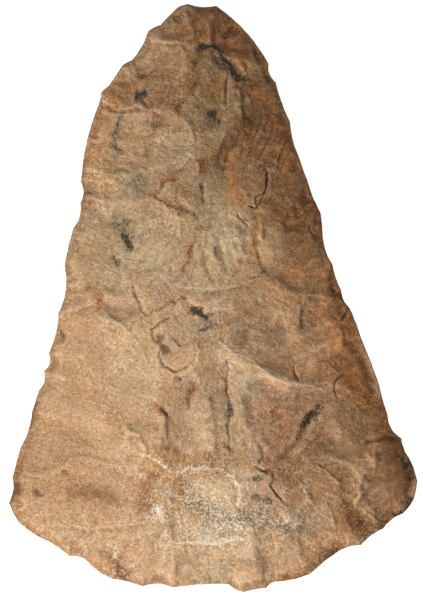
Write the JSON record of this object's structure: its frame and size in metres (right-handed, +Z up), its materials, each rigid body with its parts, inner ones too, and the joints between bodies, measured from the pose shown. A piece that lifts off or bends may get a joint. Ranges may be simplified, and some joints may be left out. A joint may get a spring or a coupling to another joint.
{
  "type": "stone spade",
  "caption": "Knapped stone spade blade: narrow rounded butt, flared curved bit, flake-scarred faces, lying on its flatter face.",
  "frame": {"origin": "on the surface the blade lies on, under the middle of its outline", "axes": "+Y from the bit to the butt, +X across the blade, +Z up through its thickness, out of the upper face"},
  "size_m": [0.1736, 0.25, 0.0267],
  "materials": {
    "weathered_stone": "matt, weathered tan to brown stone with dark and rusty stains and a pale mineral crust"
  },
  "bodies": {
    "root": {"stone_spade": "weathered_stone"}
  },
  "joints": []
}
